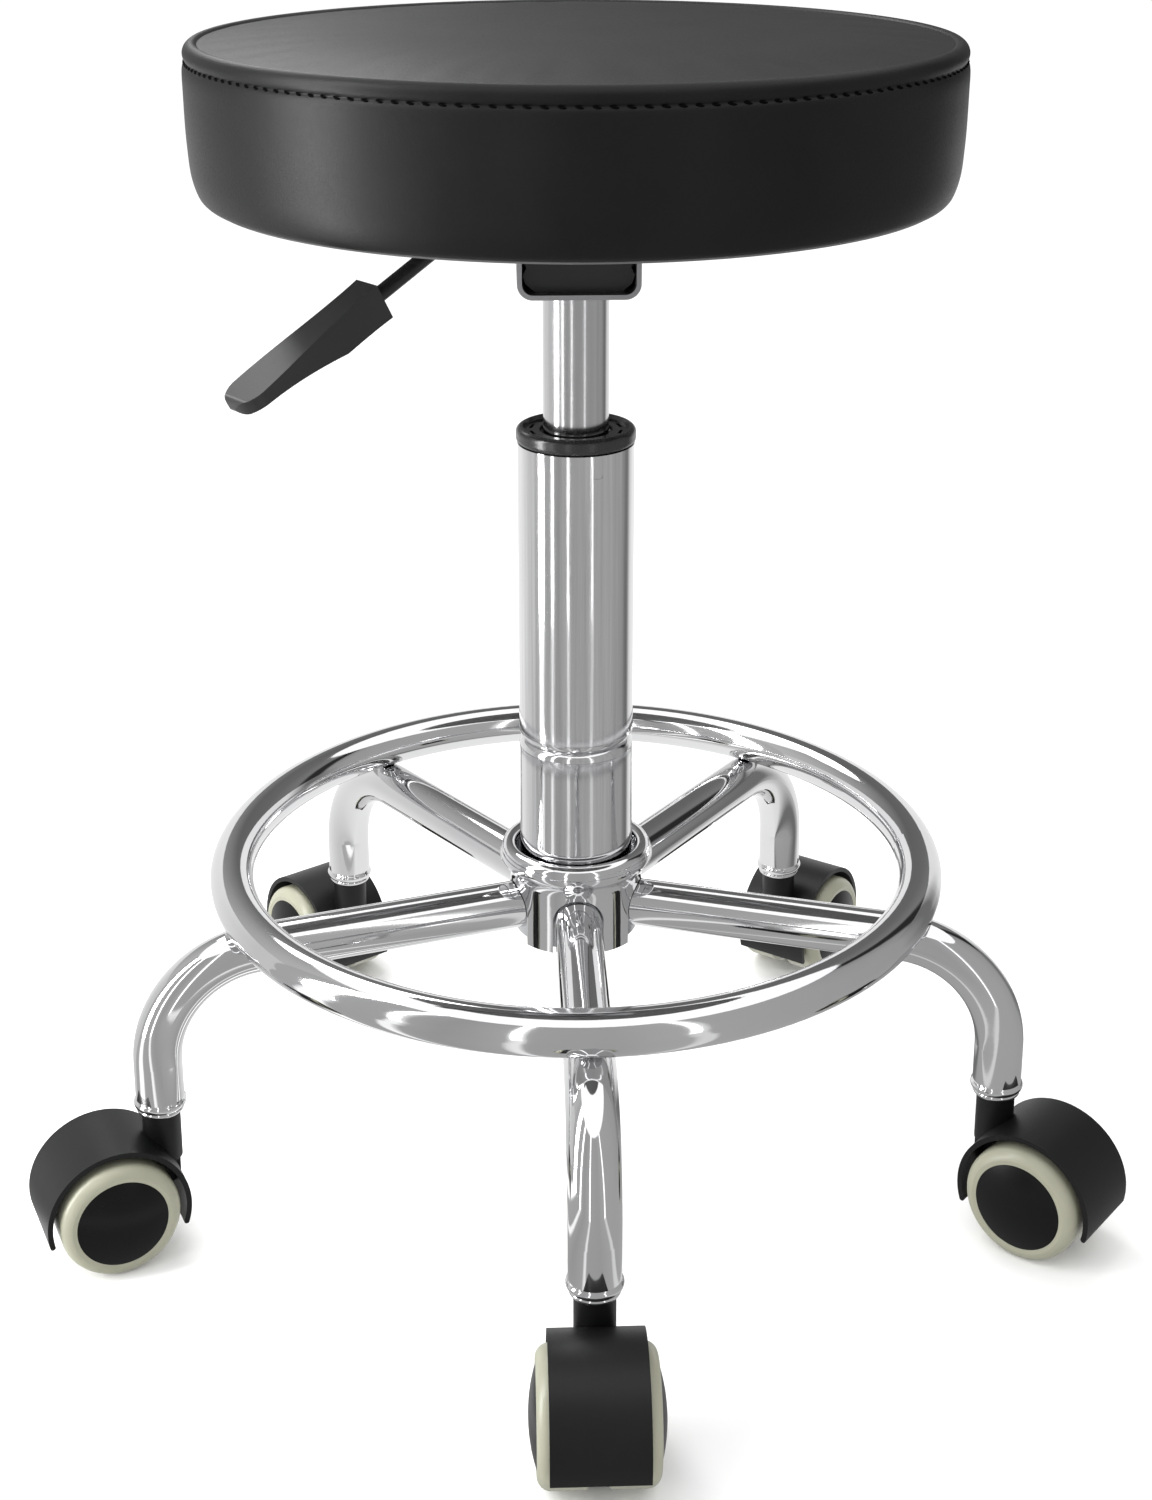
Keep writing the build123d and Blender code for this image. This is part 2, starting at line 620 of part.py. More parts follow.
TNUT_R = 4.0
with BuildPart() as seat_board:
    with BuildSketch(FLOOR.offset(BOARD_BOTTOM)):
        Circle(BOARD_R)
    extrude(amount=BOARD_T)
    with BuildSketch(FLOOR.offset(BOARD_BOTTOM)):
        with GridLocations(2 * BOLT_X, 2 * BOLT_Y, 2, 2):
            Circle(TNUT_R)
    extrude(amount=BOARD_T, mode=Mode.SUBTRACT)
    with BuildSketch(FLOOR.offset(BOARD_TOP - 1.5)):
        with GridLocations(2 * BOLT_X, 2 * BOLT_Y, 2, 2):
            Circle(9.0)
    extrude(amount=1.5, mode=Mode.SUBTRACT)
seat_board.part.label = "seat_board"
export_step(seat_board.part, "parts/seat_board.step")

# flanged tee nuts let into the top of the board
with BuildPart() as tee_nuts:
    with BuildSketch(FLOOR.offset(BOARD_BOTTOM + 1.0)):
        with GridLocations(2 * BOLT_X, 2 * BOLT_Y, 2, 2):
            Circle(TNUT_R)
            Circle(BOLT_R, mode=Mode.SUBTRACT)
    extrude(amount=BOARD_T - 2.5)
    with BuildSketch(FLOOR.offset(BOARD_TOP - 1.5)):
        with GridLocations(2 * BOLT_X, 2 * BOLT_Y, 2, 2):
            Circle(9.0)
            Circle(BOLT_R, mode=Mode.SUBTRACT)
    extrude(amount=1.5)
tee_nuts.part.label = "tee_nuts"
export_step(tee_nuts.part, "parts/tee_nuts.step")

# hexagon bolts with flange washers, up through the bracket into the tee nuts
with BuildPart() as mounting_bolts:
    with BuildSketch(FLOOR.offset(PANEL_BOTTOM - BRACKET_T - 1.3)):
        with GridLocations(2 * BOLT_X, 2 * BOLT_Y, 2, 2):
            Circle(6.2)
    extrude(amount=1.3)
    with BuildSketch(FLOOR.offset(PANEL_BOTTOM - BRACKET_T - 5.3)):
        with GridLocations(2 * BOLT_X, 2 * BOLT_Y, 2, 2):
            RegularPolygon(5.5, 6)
    extrude(amount=4.0)
    with BuildSketch(FLOOR.offset(PANEL_BOTTOM - BRACKET_T)):
        with GridLocations(2 * BOLT_X, 2 * BOLT_Y, 2, 2):
            Circle(BOLT_R)
    extrude(amount=BOARD_TOP - 1.0 - (PANEL_BOTTOM - BRACKET_T))
mounting_bolts.part.label = "mounting_bolts"
export_step(mounting_bolts.part, "parts/mounting_bolts.step")

# foam pad on the board, wrapped down round its edge
FOAM_TOP = SEAT_TOP - 1.6
with BuildPart() as seat_foam:
    with BuildSketch(SECTION):
        with BuildLine():
            w1 = Polyline((0, BOARD_TOP), (BOARD_R, BOARD_TOP), (BOARD_R, BOARD_BOTTOM), (INNER_R - 4.5, BOARD_BOTTOM))
            w2 = RadiusArc(w1 @ 1, (INNER_R, BOARD_BOTTOM + 4.5), -4.5)
            w3 = Line(w2 @ 1, (INNER_R, FOAM_TOP - SEAT_EDGE_R + 1.5))
            w4 = RadiusArc(w3 @ 1, (INNER_R - SEAT_EDGE_R + 1.5, FOAM_TOP), -(SEAT_EDGE_R - 1.5))
            w5 = Polyline(w4 @ 1, (0, FOAM_TOP), (0, BOARD_TOP))
        make_face()
    revolve(axis=COLUMN_AXIS)
seat_foam.part.label = "seat_foam"
export_step(seat_foam.part, "parts/seat_foam.step")

# upholstery over the foam and turned in under the board
with BuildPart() as seat_cover:
    with BuildSketch(FLOOR.offset(SEAT_UNDER)):
        Circle(SEAT_R)
    extrude(amount=SEAT_TOP - SEAT_UNDER)
    fillet(seat_cover.edges().filter_by(GeomType.CIRCLE).group_by(Axis.Z)[-1], SEAT_EDGE_R)
    fillet(seat_cover.edges().filter_by(GeomType.CIRCLE).group_by(Axis.Z)[0], 5.5)
    with BuildSketch(SECTION):
        with BuildLine():
            e1 = Line((0, BOARD_BOTTOM), (INNER_R - 4.5, BOARD_BOTTOM))
            e2 = RadiusArc(e1 @ 1, (INNER_R, BOARD_BOTTOM + 4.5), -4.5)
            e3 = Line(e2 @ 1, (INNER_R, FOAM_TOP - SEAT_EDGE_R + 1.5))
            e4 = RadiusArc(e3 @ 1, (INNER_R - SEAT_EDGE_R + 1.5, FOAM_TOP), -(SEAT_EDGE_R - 1.5))
            e5 = Line(e4 @ 1, (0, FOAM_TOP))
            e6 = Line(e5 @ 1, e1 @ 0)
        make_face()
    revolve(axis=COLUMN_AXIS, mode=Mode.SUBTRACT)
    with BuildSketch(FLOOR.offset(SEAT_UNDER - 1)):
        Circle(COVER_OPENING_R)
    extrude(amount=4, mode=Mode.SUBTRACT)
seat_cover.part.label = "seat_cover"
export_step(seat_cover.part, "parts/seat_cover.step")

# ================================================================== casters
for leg_name, (angle, heading) in LEGS.items():
    lx, ly = outwards(angle)
    tx, ty = outwards(heading)
    stem = (LEG_OUT * lx, COLUMN_Y + LEG_OUT * ly)
    # upright plane through the stem: local x trails outwards, local y is up
    side = Plane(origin=(stem[0], stem[1], 0), x_dir=(tx, ty, 0), z_dir=(ty, -tx, 0))
    hub = (stem[0] + TRAIL * tx, stem[1] + TRAIL * ty, WHEEL_R)

    # hood: curved skin over both wheels, web between them, neck round the stem
    skin_mid = HOOD_OUT_R - HOOD_T / 2
    skin_in = HOOD_OUT_R - HOOD_T

    def on_hood(radius, degrees):
        a = math.radians(degrees)
        return (TRAIL + radius * math.cos(a), WHEEL_R + radius * math.sin(a))

    with BuildPart() as caster_hood:
        with BuildSketch(Plane(origin=(stem[0], stem[1], 40.0))):
            Circle(NECK_R)
        extrude(amount=NECK_TOP - 40.0)
        # fairing from the neck down to the inner arm
        with BuildSketch(side.offset(-5.5)):
            with BuildLine():
                Polyline((-NECK_R + 2.2, 52), (-NECK_R + 2.2, 44), (-6.0, 30), (4, 30), (4, 52), close=True)
            make_face()
        extrude(amount=11.0)
        # room for the wheels
        with BuildSketch(side.offset(-HOOD_HALF_W - 5)):
            with Locations((TRAIL, WHEEL_R)):
                Circle(skin_in)
        extrude(amount=2 * HOOD_HALF_W + 10, mode=Mode.SUBTRACT)
        # skin
        with BuildSketch(side.offset(-HOOD_HALF_W)):
            with BuildLine():
                k1 = ThreePointArc(on_hood(HOOD_OUT_R, -12), on_hood(HOOD_OUT_R, 90), on_hood(HOOD_OUT_R, 199))
                k2 = ThreePointArc(k1 @ 1, on_hood(skin_mid, 200.9), on_hood(skin_in, 199))
                k3 = ThreePointArc(k2 @ 1, on_hood(skin_in, 90), on_hood(skin_in, -12))
                k4 = ThreePointArc(k3 @ 1, on_hood(skin_mid, -13.9), k1 @ 0)
            make_face()
        extrude(amount=2 * HOOD_HALF_W)
        # web with the axle boss
        with BuildSketch(side.offset(-1.7)):
            with BuildLine():
                w1 = ThreePointArc(on_hood(skin_in + 0.8, 5), on_hood(skin_in + 0.8, 95), on_hood(skin_in + 0.8, 178))
                w2 = Line(w1 @ 1, (TRAIL - 8, WHEEL_R - 6.2))
                w3 = Line(w2 @ 1, (TRAIL + 8, WHEEL_R - 6.2))
                w4 = Line(w3 @ 1, w1 @ 0)
            make_face()
        extrude(amount=3.4)
        # bores: stem from above, axle across
        with BuildSketch(Plane(origin=(stem[0], stem[1], CSTEM_BOTTOM - 0.5))):
            Circle(CSTEM_R + 0.05)
        extrude(amount=20, mode=Mode.SUBTRACT)
        with BuildSketch(side.offset(-5)):
            with Locations((TRAIL, WHEEL_R)):
                Circle(AXLE_R)
        extrude(amount=10, mode=Mode.SUBTRACT)
    caster_hood.part.label = f"caster_hood_{leg_name}"
    export_step(caster_hood.part, f"parts/caster_hood_{leg_name}.step")

    with BuildPart() as caster_axle:
        with BuildSketch(side.offset(-20.5)):
            with Locations((TRAIL, WHEEL_R)):
                Circle(AXLE_R)
        extrude(amount=41.0)
    caster_axle.part.label = f"caster_axle_{leg_name}"
    export_step(caster_axle.part, f"parts/caster_axle_{leg_name}.step")

    for wheel_side, sign in (("a", 1.0), ("b", -1.0)):
        # local x runs outwards along the axle, local y is up from its centre
        wx, wy = -ty * sign, tx * sign
        axle_plane = Plane(origin=hub, x_dir=(wx, wy, 0), z_dir=(wy, -wx, 0))
        axle_axis = Axis(hub, (wx, wy, 0))
        with BuildPart() as wheel_core:
            with BuildSketch(axle_plane):
                with BuildLine():
                    g1 = Polyline(
                        (21.2, 0),
                        (21.2, AXLE_R + 0.05),
                        (WHEEL_IN, AXLE_R + 0.05),
                        (WHEEL_IN, 6.5),
                        (19.4, 6.5),
                        (19.4, 17.6),
                        (WHEEL_IN + 0.6, 17.6),
                        (WHEEL_IN + 0.6, CORE_RIM_R),
                        (23.0, CORE_RIM_R),
                    )
                    g2 = ThreePointArc(g1 @ 1, (25.35, 10.6), (DOME_OUT, 1.5))
                    g3 = Polyline(g2 @ 1, (DOME_OUT, 0), g1 @ 0)
                make_face()
            revolve(axis=axle_axis)
        wheel_core.part.label = f"wheel_core_{leg_name}_{wheel_side}"
        export_step(wheel_core.part, f"parts/wheel_core_{leg_name}_{wheel_side}.step")

        with BuildPart() as wheel_tread:
            with BuildSketch(axle_plane):
                with BuildLine():
                    t1 = Polyline((WHEEL_IN + 0.6, CORE_RIM_R), (WHEEL_IN + 0.6, WHEEL_R - 1.4), (WHEEL_IN + 2.0, WHEEL_R), (17.6, WHEEL_R))
                    t2 = ThreePointArc(t1 @ 1, (21.55, 24.75), (23.35, 21.6))
                    t3 = Line(t2 @ 1, (23.0, CORE_RIM_R))
                    t4 = Line(t3 @ 1, t1 @ 0)
                make_face()
            revolve(axis=axle_axis)
        wheel_tread.part.label = f"wheel_tread_{leg_name}_{wheel_side}"
        export_step(wheel_tread.part, f"parts/wheel_tread_{leg_name}_{wheel_side}.step")
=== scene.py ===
import bpy
import bmesh
import math
import numpy as np
from mathutils import Matrix, Vector


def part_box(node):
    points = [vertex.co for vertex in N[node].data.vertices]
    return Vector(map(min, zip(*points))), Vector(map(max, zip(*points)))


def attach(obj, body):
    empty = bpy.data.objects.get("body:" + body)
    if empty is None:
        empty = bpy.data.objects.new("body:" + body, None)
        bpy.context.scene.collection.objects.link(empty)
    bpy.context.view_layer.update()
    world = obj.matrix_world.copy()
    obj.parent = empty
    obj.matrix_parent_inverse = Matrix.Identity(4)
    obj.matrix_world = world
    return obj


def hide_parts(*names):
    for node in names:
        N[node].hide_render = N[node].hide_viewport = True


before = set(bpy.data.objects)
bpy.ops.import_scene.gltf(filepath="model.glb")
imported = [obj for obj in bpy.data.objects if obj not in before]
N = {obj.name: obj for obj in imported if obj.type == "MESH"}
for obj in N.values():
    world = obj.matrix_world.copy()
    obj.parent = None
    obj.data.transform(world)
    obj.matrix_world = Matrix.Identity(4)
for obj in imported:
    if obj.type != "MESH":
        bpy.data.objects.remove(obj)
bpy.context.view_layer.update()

scene = bpy.context.scene
scene.view_settings.view_transform = "Standard"
scene.view_settings.look = "None"
scene.view_settings.exposure = 0.0
scene.view_settings.gamma = 1.0

col_lo, col_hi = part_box("column_tube")
CX, CY = (col_lo.x + col_hi.x) / 2, (col_lo.y + col_hi.y) / 2
mm = 0.001


# ------------------------------------------------------------------ camera
def make_camera():
    turn = math.radians(2.15)
    dist, high, pitch = 0.9347, 0.6147, math.radians(17.57)
    cam = bpy.data.cameras.new("camera")
    ob = bpy.data.objects.new("camera", cam)
    scene.collection.objects.link(ob)
    ob.location = (CX - dist * math.sin(turn), CY - dist * math.cos(turn), high)
    ob.rotation_euler = (math.pi / 2 - pitch, 0.0, -turn)
    cam.sensor_fit = "AUTO"
    cam.sensor_width = 36.0
    cam.lens = 2290.6 / 1500.0 * 36.0
    cam.shift_y = -250.0 / 1500.0
    cam.clip_start, cam.clip_end = 0.01, 60.0
    scene.camera = ob
    return ob


camera = make_camera()


# --------------------------------------------------------------- materials
def new_mat(name):
    m = bpy.data.materials.new(name)
    m.use_nodes = True
    nt = m.node_tree
    nt.nodes.clear()
    out = nt.nodes.new("ShaderNodeOutputMaterial")
    sh = nt.nodes.new("ShaderNodeBsdfPrincipled")
    nt.links.new(sh.outputs["BSDF"], out.inputs["Surface"])
    return m, nt, sh


def coords(nt, scale=(1, 1, 1), kind="Object"):
    tc = nt.nodes.new("ShaderNodeTexCoord")
    mp = nt.nodes.new("ShaderNodeMapping")
    mp.inputs["Scale"].default_value = scale
    nt.links.new(tc.outputs[kind], mp.inputs["Vector"])
    return mp.outputs["Vector"]


def noise(nt, vec, scale, detail=3.0, rough=0.5, distortion=0.0):
    n = nt.nodes.new("ShaderNodeTexNoise")
    n.inputs["Scale"].default_value = scale
    n.inputs["Detail"].default_value = detail
    n.inputs["Roughness"].default_value = rough
    n.inputs["Distortion"].default_value = distortion
    nt.links.new(vec, n.inputs["Vector"])
    return n.outputs["Fac"]


def ramp(nt, fac, stops):
    r = nt.nodes.new("ShaderNodeValToRGB")
    el = r.color_ramp.elements
    while len(el) < len(stops):
        el.new(0.5)
    for e, (p, c) in zip(el, stops):
        e.position = p
        e.color = (c, c, c, 1.0) if isinstance(c, (int, float)) else (*c, 1.0)
    nt.links.new(fac, r.inputs["Fac"])
    return r.outputs["Color"]


def math_node(nt, op, a, b=None, clamp=False):
    n = nt.nodes.new("ShaderNodeMath")
    n.operation = op
    n.use_clamp = clamp
    for i, v in enumerate((a, b)):
        if v is None:
            continue
        if isinstance(v, (int, float)):
            n.inputs[i].default_value = v
        else:
            nt.links.new(v, n.inputs[i])
    return n.outputs["Value"]


def bump(nt, sh, height, strength, distance):
    b = nt.nodes.new("ShaderNodeBump")
    b.inputs["Strength"].default_value = strength
    b.inputs["Distance"].default_value = distance
    nt.links.new(height, b.inputs["Height"])
    nt.links.new(b.outputs["Normal"], sh.inputs["Normal"])


def metal(name, color, dark, rough, grain=900.0, stretch=(1, 1, 1), bump_d=0.000008, streak=0.0):
    m, nt, sh = new_mat(name)
    v = coords(nt, stretch)
    big = noise(nt, coords(nt), 9.0, 4.0, 0.55)
    fine = noise(nt, v, grain, 3.0, 0.6)
    tone, height = big, fine
    if streak:
        # fine lines along the tube, left by drawing and polishing
        lines = noise(nt, coords(nt, (1, 1, 0.015)), 330.0, 5.0, 0.7)
        tone = math_node(nt, "ADD", math_node(nt, "MULTIPLY", big, 1 - streak), math_node(nt, "MULTIPLY", lines, streak))
        height = math_node(nt, "ADD", math_node(nt, "MULTIPLY", fine, 0.3), lines)
    nt.links.new(ramp(nt, tone, [(0.34, tuple(dark)), (0.66, tuple(color))]), sh.inputs["Base Color"])
    sh.inputs["Metallic"].default_value = 1.0
    mix = math_node(nt, "ADD", math_node(nt, "MULTIPLY", big, 0.5), math_node(nt, "MULTIPLY", fine, 0.5))
    nt.links.new(ramp(nt, mix, [(0.3, rough[0]), (0.75, rough[1])]), sh.inputs["Roughness"])
    bump(nt, sh, height, 0.35, bump_d)
    return m


def plastic(name, color, light, rough, scale=1400.0, bump_d=0.00004, coat=0.0, spec=0.5):
    m, nt, sh = new_mat(name)
    v = coords(nt)
    big = noise(nt, v, 14.0, 4.0, 0.6)
    fine = noise(nt, v, scale, 2.0, 0.5)
    nt.links.new(ramp(nt, big, [(0.3, tuple(color)), (0.75, tuple(light))]), sh.inputs["Base Color"])
    mix = math_node(nt, "ADD", math_node(nt, "MULTIPLY", big, 0.6), math_node(nt, "MULTIPLY", fine, 0.4))
    nt.links.new(ramp(nt, mix, [(0.3, rough[0]), (0.75, rough[1])]), sh.inputs["Roughness"])
    sh.inputs["Specular IOR Level"].default_value = spec
    if coat:
        sh.inputs["Coat Weight"].default_value = coat
        sh.inputs["Coat Roughness"].default_value = 0.25
    bump(nt, sh, fine, 0.5, bump_d)
    return m


def leather(name):
    """Smooth black vinyl: very fine pebble grain, faint pores and a soft sheen."""
    m, nt, sh = new_mat(name)
    v = coords(nt)
    warp = nt.nodes.new("ShaderNodeTexNoise")
    warp.inputs["Scale"].default_value = 260.0
    warp.inputs["Detail"].default_value = 2.0
    nt.links.new(v, warp.inputs["Vector"])
    add = nt.nodes.new("ShaderNodeVectorMath")
    add.operation = "MULTIPLY_ADD"
    add.inputs[1].default_value = (0.0012, 0.0012, 0.0012)
    nt.links.new(warp.outputs["Color"], add.inputs[0])
    nt.links.new(v, add.inputs[2])
    vor = nt.nodes.new("ShaderNodeTexVoronoi")
    vor.feature = "SMOOTH_F1"
    vor.inputs["Scale"].default_value = 1050.0
    vor.inputs["Smoothness"].default_value = 0.6
    nt.links.new(add.outputs["Vector"], vor.inputs["Vector"])
    pores = noise(nt, v, 2600.0, 2.0, 0.5)
    soft = noise(nt, v, 30.0, 4.0, 0.55)
    height = math_node(nt, "ADD", math_node(nt, "MULTIPLY", vor.outputs["Distance"], -0.8), math_node(nt, "MULTIPLY", pores, 0.25))
    nt.links.new(ramp(nt, soft, [(0.3, (0.0020, 0.0020, 0.0021)), (0.75, (0.0034, 0.0034, 0.0035))]), sh.inputs["Base Color"])
    rr = math_node(nt, "ADD", math_node(nt, "MULTIPLY", soft, 0.5), math_node(nt, "MULTIPLY", vor.outputs["Distance"], 0.5))
    nt.links.new(ramp(nt, rr, [(0.2, 0.38), (0.8, 0.48)]), sh.inputs["Roughness"])
    sh.inputs["Specular IOR Level"].default_value = 0.23
    bump(nt, sh, height, 0.30, 0.00012)
    return m


CHROME = metal("chrome_plate", (0.74, 0.74, 0.745), (0.68, 0.68, 0.69), (0.04, 0.08), grain=1100.0)
TUBE_CHROME = metal("drawn_chrome_tube", (0.78, 0.78, 0.785), (0.60, 0.60, 0.61), (0.06, 0.11), grain=420.0, stretch=(7, 7, 0.10), bump_d=0.00007, streak=0.8)
CYL_CHROME = metal("hard_chrome_tube", (0.62, 0.62, 0.625), (0.52, 0.52, 0.53), (0.13, 0.20), grain=500.0, stretch=(6, 6, 0.12), bump_d=0.00005, streak=0.8)
ZINC = metal("bright_zinc", (0.70, 0.71, 0.72), (0.55, 0.56, 0.58), (0.22, 0.38), grain=700.0, bump_d=0.00002)
BRACKET = metal("bracket_grey", (0.42, 0.42, 0.43), (0.33, 0.33, 0.34), (0.28, 0.42), grain=800.0, bump_d=0.00003)
BLACK_STEEL = plastic("black_steel", (0.005, 0.005, 0.005), (0.009, 0.009, 0.009), (0.28, 0.42), scale=900.0, bump_d=0.00003)
BUSH = plastic("bush_nylon", (0.008, 0.008, 0.008), (0.014, 0.014, 0.014), (0.20, 0.32), scale=900.0, bump_d=0.00002, spec=0.6)
HOOD = plastic("hood_nylon", (0.0026, 0.0026, 0.0028), (0.0048, 0.0048, 0.0050), (0.36, 0.50), scale=1500.0, bump_d=0.00006, spec=0.28)
DISC = plastic("wheel_nylon", (0.0016, 0.0016, 0.0017), (0.0030, 0.0030, 0.0032), (0.26, 0.38), scale=1200.0, bump_d=0.00002, spec=0.22)
HANDLE = plastic("handle_moulded", (0.010, 0.010, 0.010), (0.016, 0.016, 0.016), (0.30, 0.42), scale=1300.0, bump_d=0.00005)
TREAD = plastic("tread_olive_grey", (0.245, 0.245, 0.185), (0.315, 0.312, 0.238), (0.28, 0.42), scale=1000.0, bump_d=0.00003)
RUBBER = plastic("buffer_rubber", (0.02, 0.02, 0.02), (0.03, 0.03, 0.03), (0.6, 0.8), scale=900.0)
PANEL = plastic("panel_grey", (0.055, 0.055, 0.055), (0.080, 0.080, 0.080), (0.45, 0.62), scale=700.0, bump_d=0.00008)
LEATHER = leather("black_vinyl")
THREAD = plastic("thread_black", (0.0006, 0.0006, 0.0006), (0.0014, 0.0014, 0.0014), (0.75, 0.95), scale=3000.0, spec=0.05)


def foam_mat():
    m, nt, sh = new_mat("open_cell_foam")
    v = coords(nt)
    a = noise(nt, v, 700.0, 3.0, 0.6)
    nt.links.new(ramp(nt, a, [(0.3, (0.55, 0.47, 0.25)), (0.7, (0.75, 0.68, 0.42))]), sh.inputs["Base Color"])
    sh.inputs["Roughness"].default_value = 0.95
    bump(nt, sh, a, 0.6, 0.0004)
    return m


def wood_mat():
    m, nt, sh = new_mat("birch_plywood")
    v = coords(nt, (3, 40, 3))
    a = noise(nt, v, 6.0, 5.0, 0.6, 0.6)
    nt.links.new(ramp(nt, a, [(0.3, (0.42, 0.28, 0.15)), (0.7, (0.62, 0.46, 0.28))]), sh.inputs["Base Color"])
    sh.inputs["Roughness"].default_value = 0.7
    bump(nt, sh, a, 0.3, 0.0002)
    return m


FOAM, WOOD = foam_mat(), wood_mat()


def dress(node, mat):
    ob = N[node]
    ob.data.materials.clear()
    ob.data.materials.append(mat)


for n in N:
    if n.startswith("leg_") or n in ("hub_cover", "foot_ring"):
        dress(n, CHROME)
    elif n == "column_tube":
        dress(n, TUBE_CHROME)
    elif n.startswith("caster_hood"):
        dress(n, HOOD)
    elif n.startswith("wheel_core"):
        dress(n, DISC)
    elif n.startswith("wheel_tread"):
        dress(n, TREAD)
    elif n == "gas_cylinder":
        dress(n, CYL_CHROME)
    elif n == "guide_bush":
        dress(n, BUSH)
    elif n == "seat_bracket":
        dress(n, BRACKET)
    elif n in ("mechanism_block", "lever_rod"):
        dress(n, BLACK_STEEL)
    elif n == "lever_handle":
        dress(n, HANDLE)
    elif n == "buffer_ring":
        dress(n, RUBBER)
    elif n == "bottom_panel":
        dress(n, PANEL)
    elif n == "seat_foam":
        dress(n, FOAM)
    elif n == "seat_board":
        dress(n, WOOD)
    elif n == "seat_cover":
        dress(n, LEATHER)
    else:
        dress(n, ZINC)


# ------------------------------------------------------------ mesh helpers
def link(me, name, body, mat, smooth=True):
    ob = bpy.data.objects.new(name, me)
    scene.collection.objects.link(ob)
    me.materials.append(mat)
    if smooth:
        for p in me.polygons:
            p.use_smooth = True
    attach(ob, body)
    return ob


def lathe(profile, segments, cx, cy, wobble=None):
    """Ring mesh from (r, z) points in metres. A first or last point with r = 0 closes with a fan."""
    verts, faces, rows = [], [], []
    for k, (r, z) in enumerate(profile):
        if r < 1e-9:
            rows.append([len(verts)])
            verts.append((cx, cy, z))
            continue
        row = []
        for i in range(segments):
            a = 2 * math.pi * i / segments
            dr, dz = wobble(k, a, r, z) if wobble else (0.0, 0.0)
            row.append(len(verts))
            verts.append((cx + (r + dr) * math.cos(a), cy + (r + dr) * math.sin(a), z + dz))
        rows.append(row)
    for a, b in zip(rows, rows[1:]):
        for i in range(segments):
            j = (i + 1) % segments
            if len(a) == 1 and len(b) == 1:
                continue
            if len(a) == 1:
                faces.append((a[0], b[i], b[j]))
            elif len(b) == 1:
                faces.append((a[i], b[0], a[j]))
            else:
                faces.append((a[i], b[i], b[j], a[j]))
    return verts, faces, rows


def mesh_from(name, verts, faces):
    me = bpy.data.meshes.new(name)
    me.from_pydata(verts, [], faces)
    me.validate()
    bm = bmesh.new()
    bm.from_mesh(me)
    bmesh.ops.recalc_face_normals(bm, faces=bm.faces)
    bm.to_mesh(me)
    bm.free()
    return me


# -------------------------------------------------------------- the cushion
s_lo, s_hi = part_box("seat_cover")
SR = (s_hi.x - s_lo.x) / 2
TOP, BOTTOM = s_hi.z, s_lo.z
SEAM_Z = TOP - 9.4 * mm        # stitched seam under the rim
CREASE_R = SR - 6.2 * mm       # crease where the top panel meets the rim
SEG = 288


def smooth_points(points, per=6):
    """Catmull-Rom through the points, so that a few numbers give a soft profile."""
    out = []
    n = len(points)
    for i in range(n - 1):
        p0 = points[max(i - 1, 0)]
        p1, p2 = points[i], points[i + 1]
        p3 = points[min(i + 2, n - 1)]
        for s in range(per):
            t = s / per
            out.append(tuple(
                0.5 * (2 * p1[k] + (p2[k] - p0[k]) * t + (2 * p0[k] - 5 * p1[k] + 4 * p2[k] - p3[k]) * t * t
                       + (3 * p1[k] - p0[k] - 3 * p2[k] + p3[k]) * t ** 3)
                for k in range(2)))
    out.append(points[-1])
    return out


p_lo, p_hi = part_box("bottom_panel")
PANEL_EDGE = (p_hi.x - p_lo.x) / 2


def cushion_profiles():
    top = [(0.0, TOP - 1.2 * mm), (30 * mm, TOP - 1.2 * mm), (60 * mm, TOP - 1.25 * mm), (90 * mm, TOP - 1.3 * mm),
           (115 * mm, TOP - 1.4 * mm), (134 * mm, TOP - 1.6 * mm), (144 * mm, TOP - 1.9 * mm),
           (CREASE_R - 2.2 * mm, TOP - 2.3 * mm), (CREASE_R - 0.5 * mm, TOP - 2.9 * mm)]
    rim = [(CREASE_R - 0.2 * mm, TOP - 3.2 * mm), (CREASE_R + 1.0 * mm, TOP - 2.2 * mm), (CREASE_R + 2.8 * mm, TOP - 2.2 * mm),
           (SR - 1.6 * mm, TOP - 3.6 * mm), (SR - 0.7 * mm, TOP - 5.6 * mm), (SR - 0.8 * mm, TOP - 7.6 * mm),
           (SR - 1.5 * mm, SEAM_Z + 0.3 * mm)]
    side = [(SR - 1.6 * mm, SEAM_Z), (SR - 0.6 * mm, SEAM_Z - 1.6 * mm), (SR - 0.2 * mm, SEAM_Z - 5 * mm),
            (SR - 0.3 * mm, SEAM_Z - 12 * mm), (SR - 0.4 * mm, SEAM_Z - 20 * mm), (SR - 0.6 * mm, SEAM_Z - 28 * mm),
            (SR - 1.0 * mm, SEAM_Z - 35 * mm), (SR - 1.5 * mm, BOTTOM + 10.5 * mm), (SR - 2.2 * mm, BOTTOM + 6.2 * mm),
            (SR - 3.2 * mm, BOTTOM + 2.6 * mm), (SR - 4.4 * mm, BOTTOM - 0.4 * mm), (PANEL_EDGE + 1.9 * mm, BOTTOM - 1.9 * mm),
            (PANEL_EDGE + 1.2 * mm, BOTTOM - 2.4 * mm), (PANEL_EDGE + 0.8 * mm, BOTTOM - 2.2 * mm),
            (PANEL_EDGE + 0.7 * mm, BOTTOM - 1.2 * mm), (PANEL_EDGE + 0.7 * mm, BOTTOM + 0.6 * mm)]
    return top, rim, side


def cushion_mesh():
    """Cover as one closed sheet from the middle of the top to the turned-in edge, with rows at both seams."""
    top, rim, side = cushion_profiles()
    prof = smooth_points(top, 4)
    crease_row = len(prof)
    prof += smooth_points(rim, 4)
    seam_row = len(prof) - 1
    prof += smooth_points(side, 4)
    return prof, crease_row, seam_row


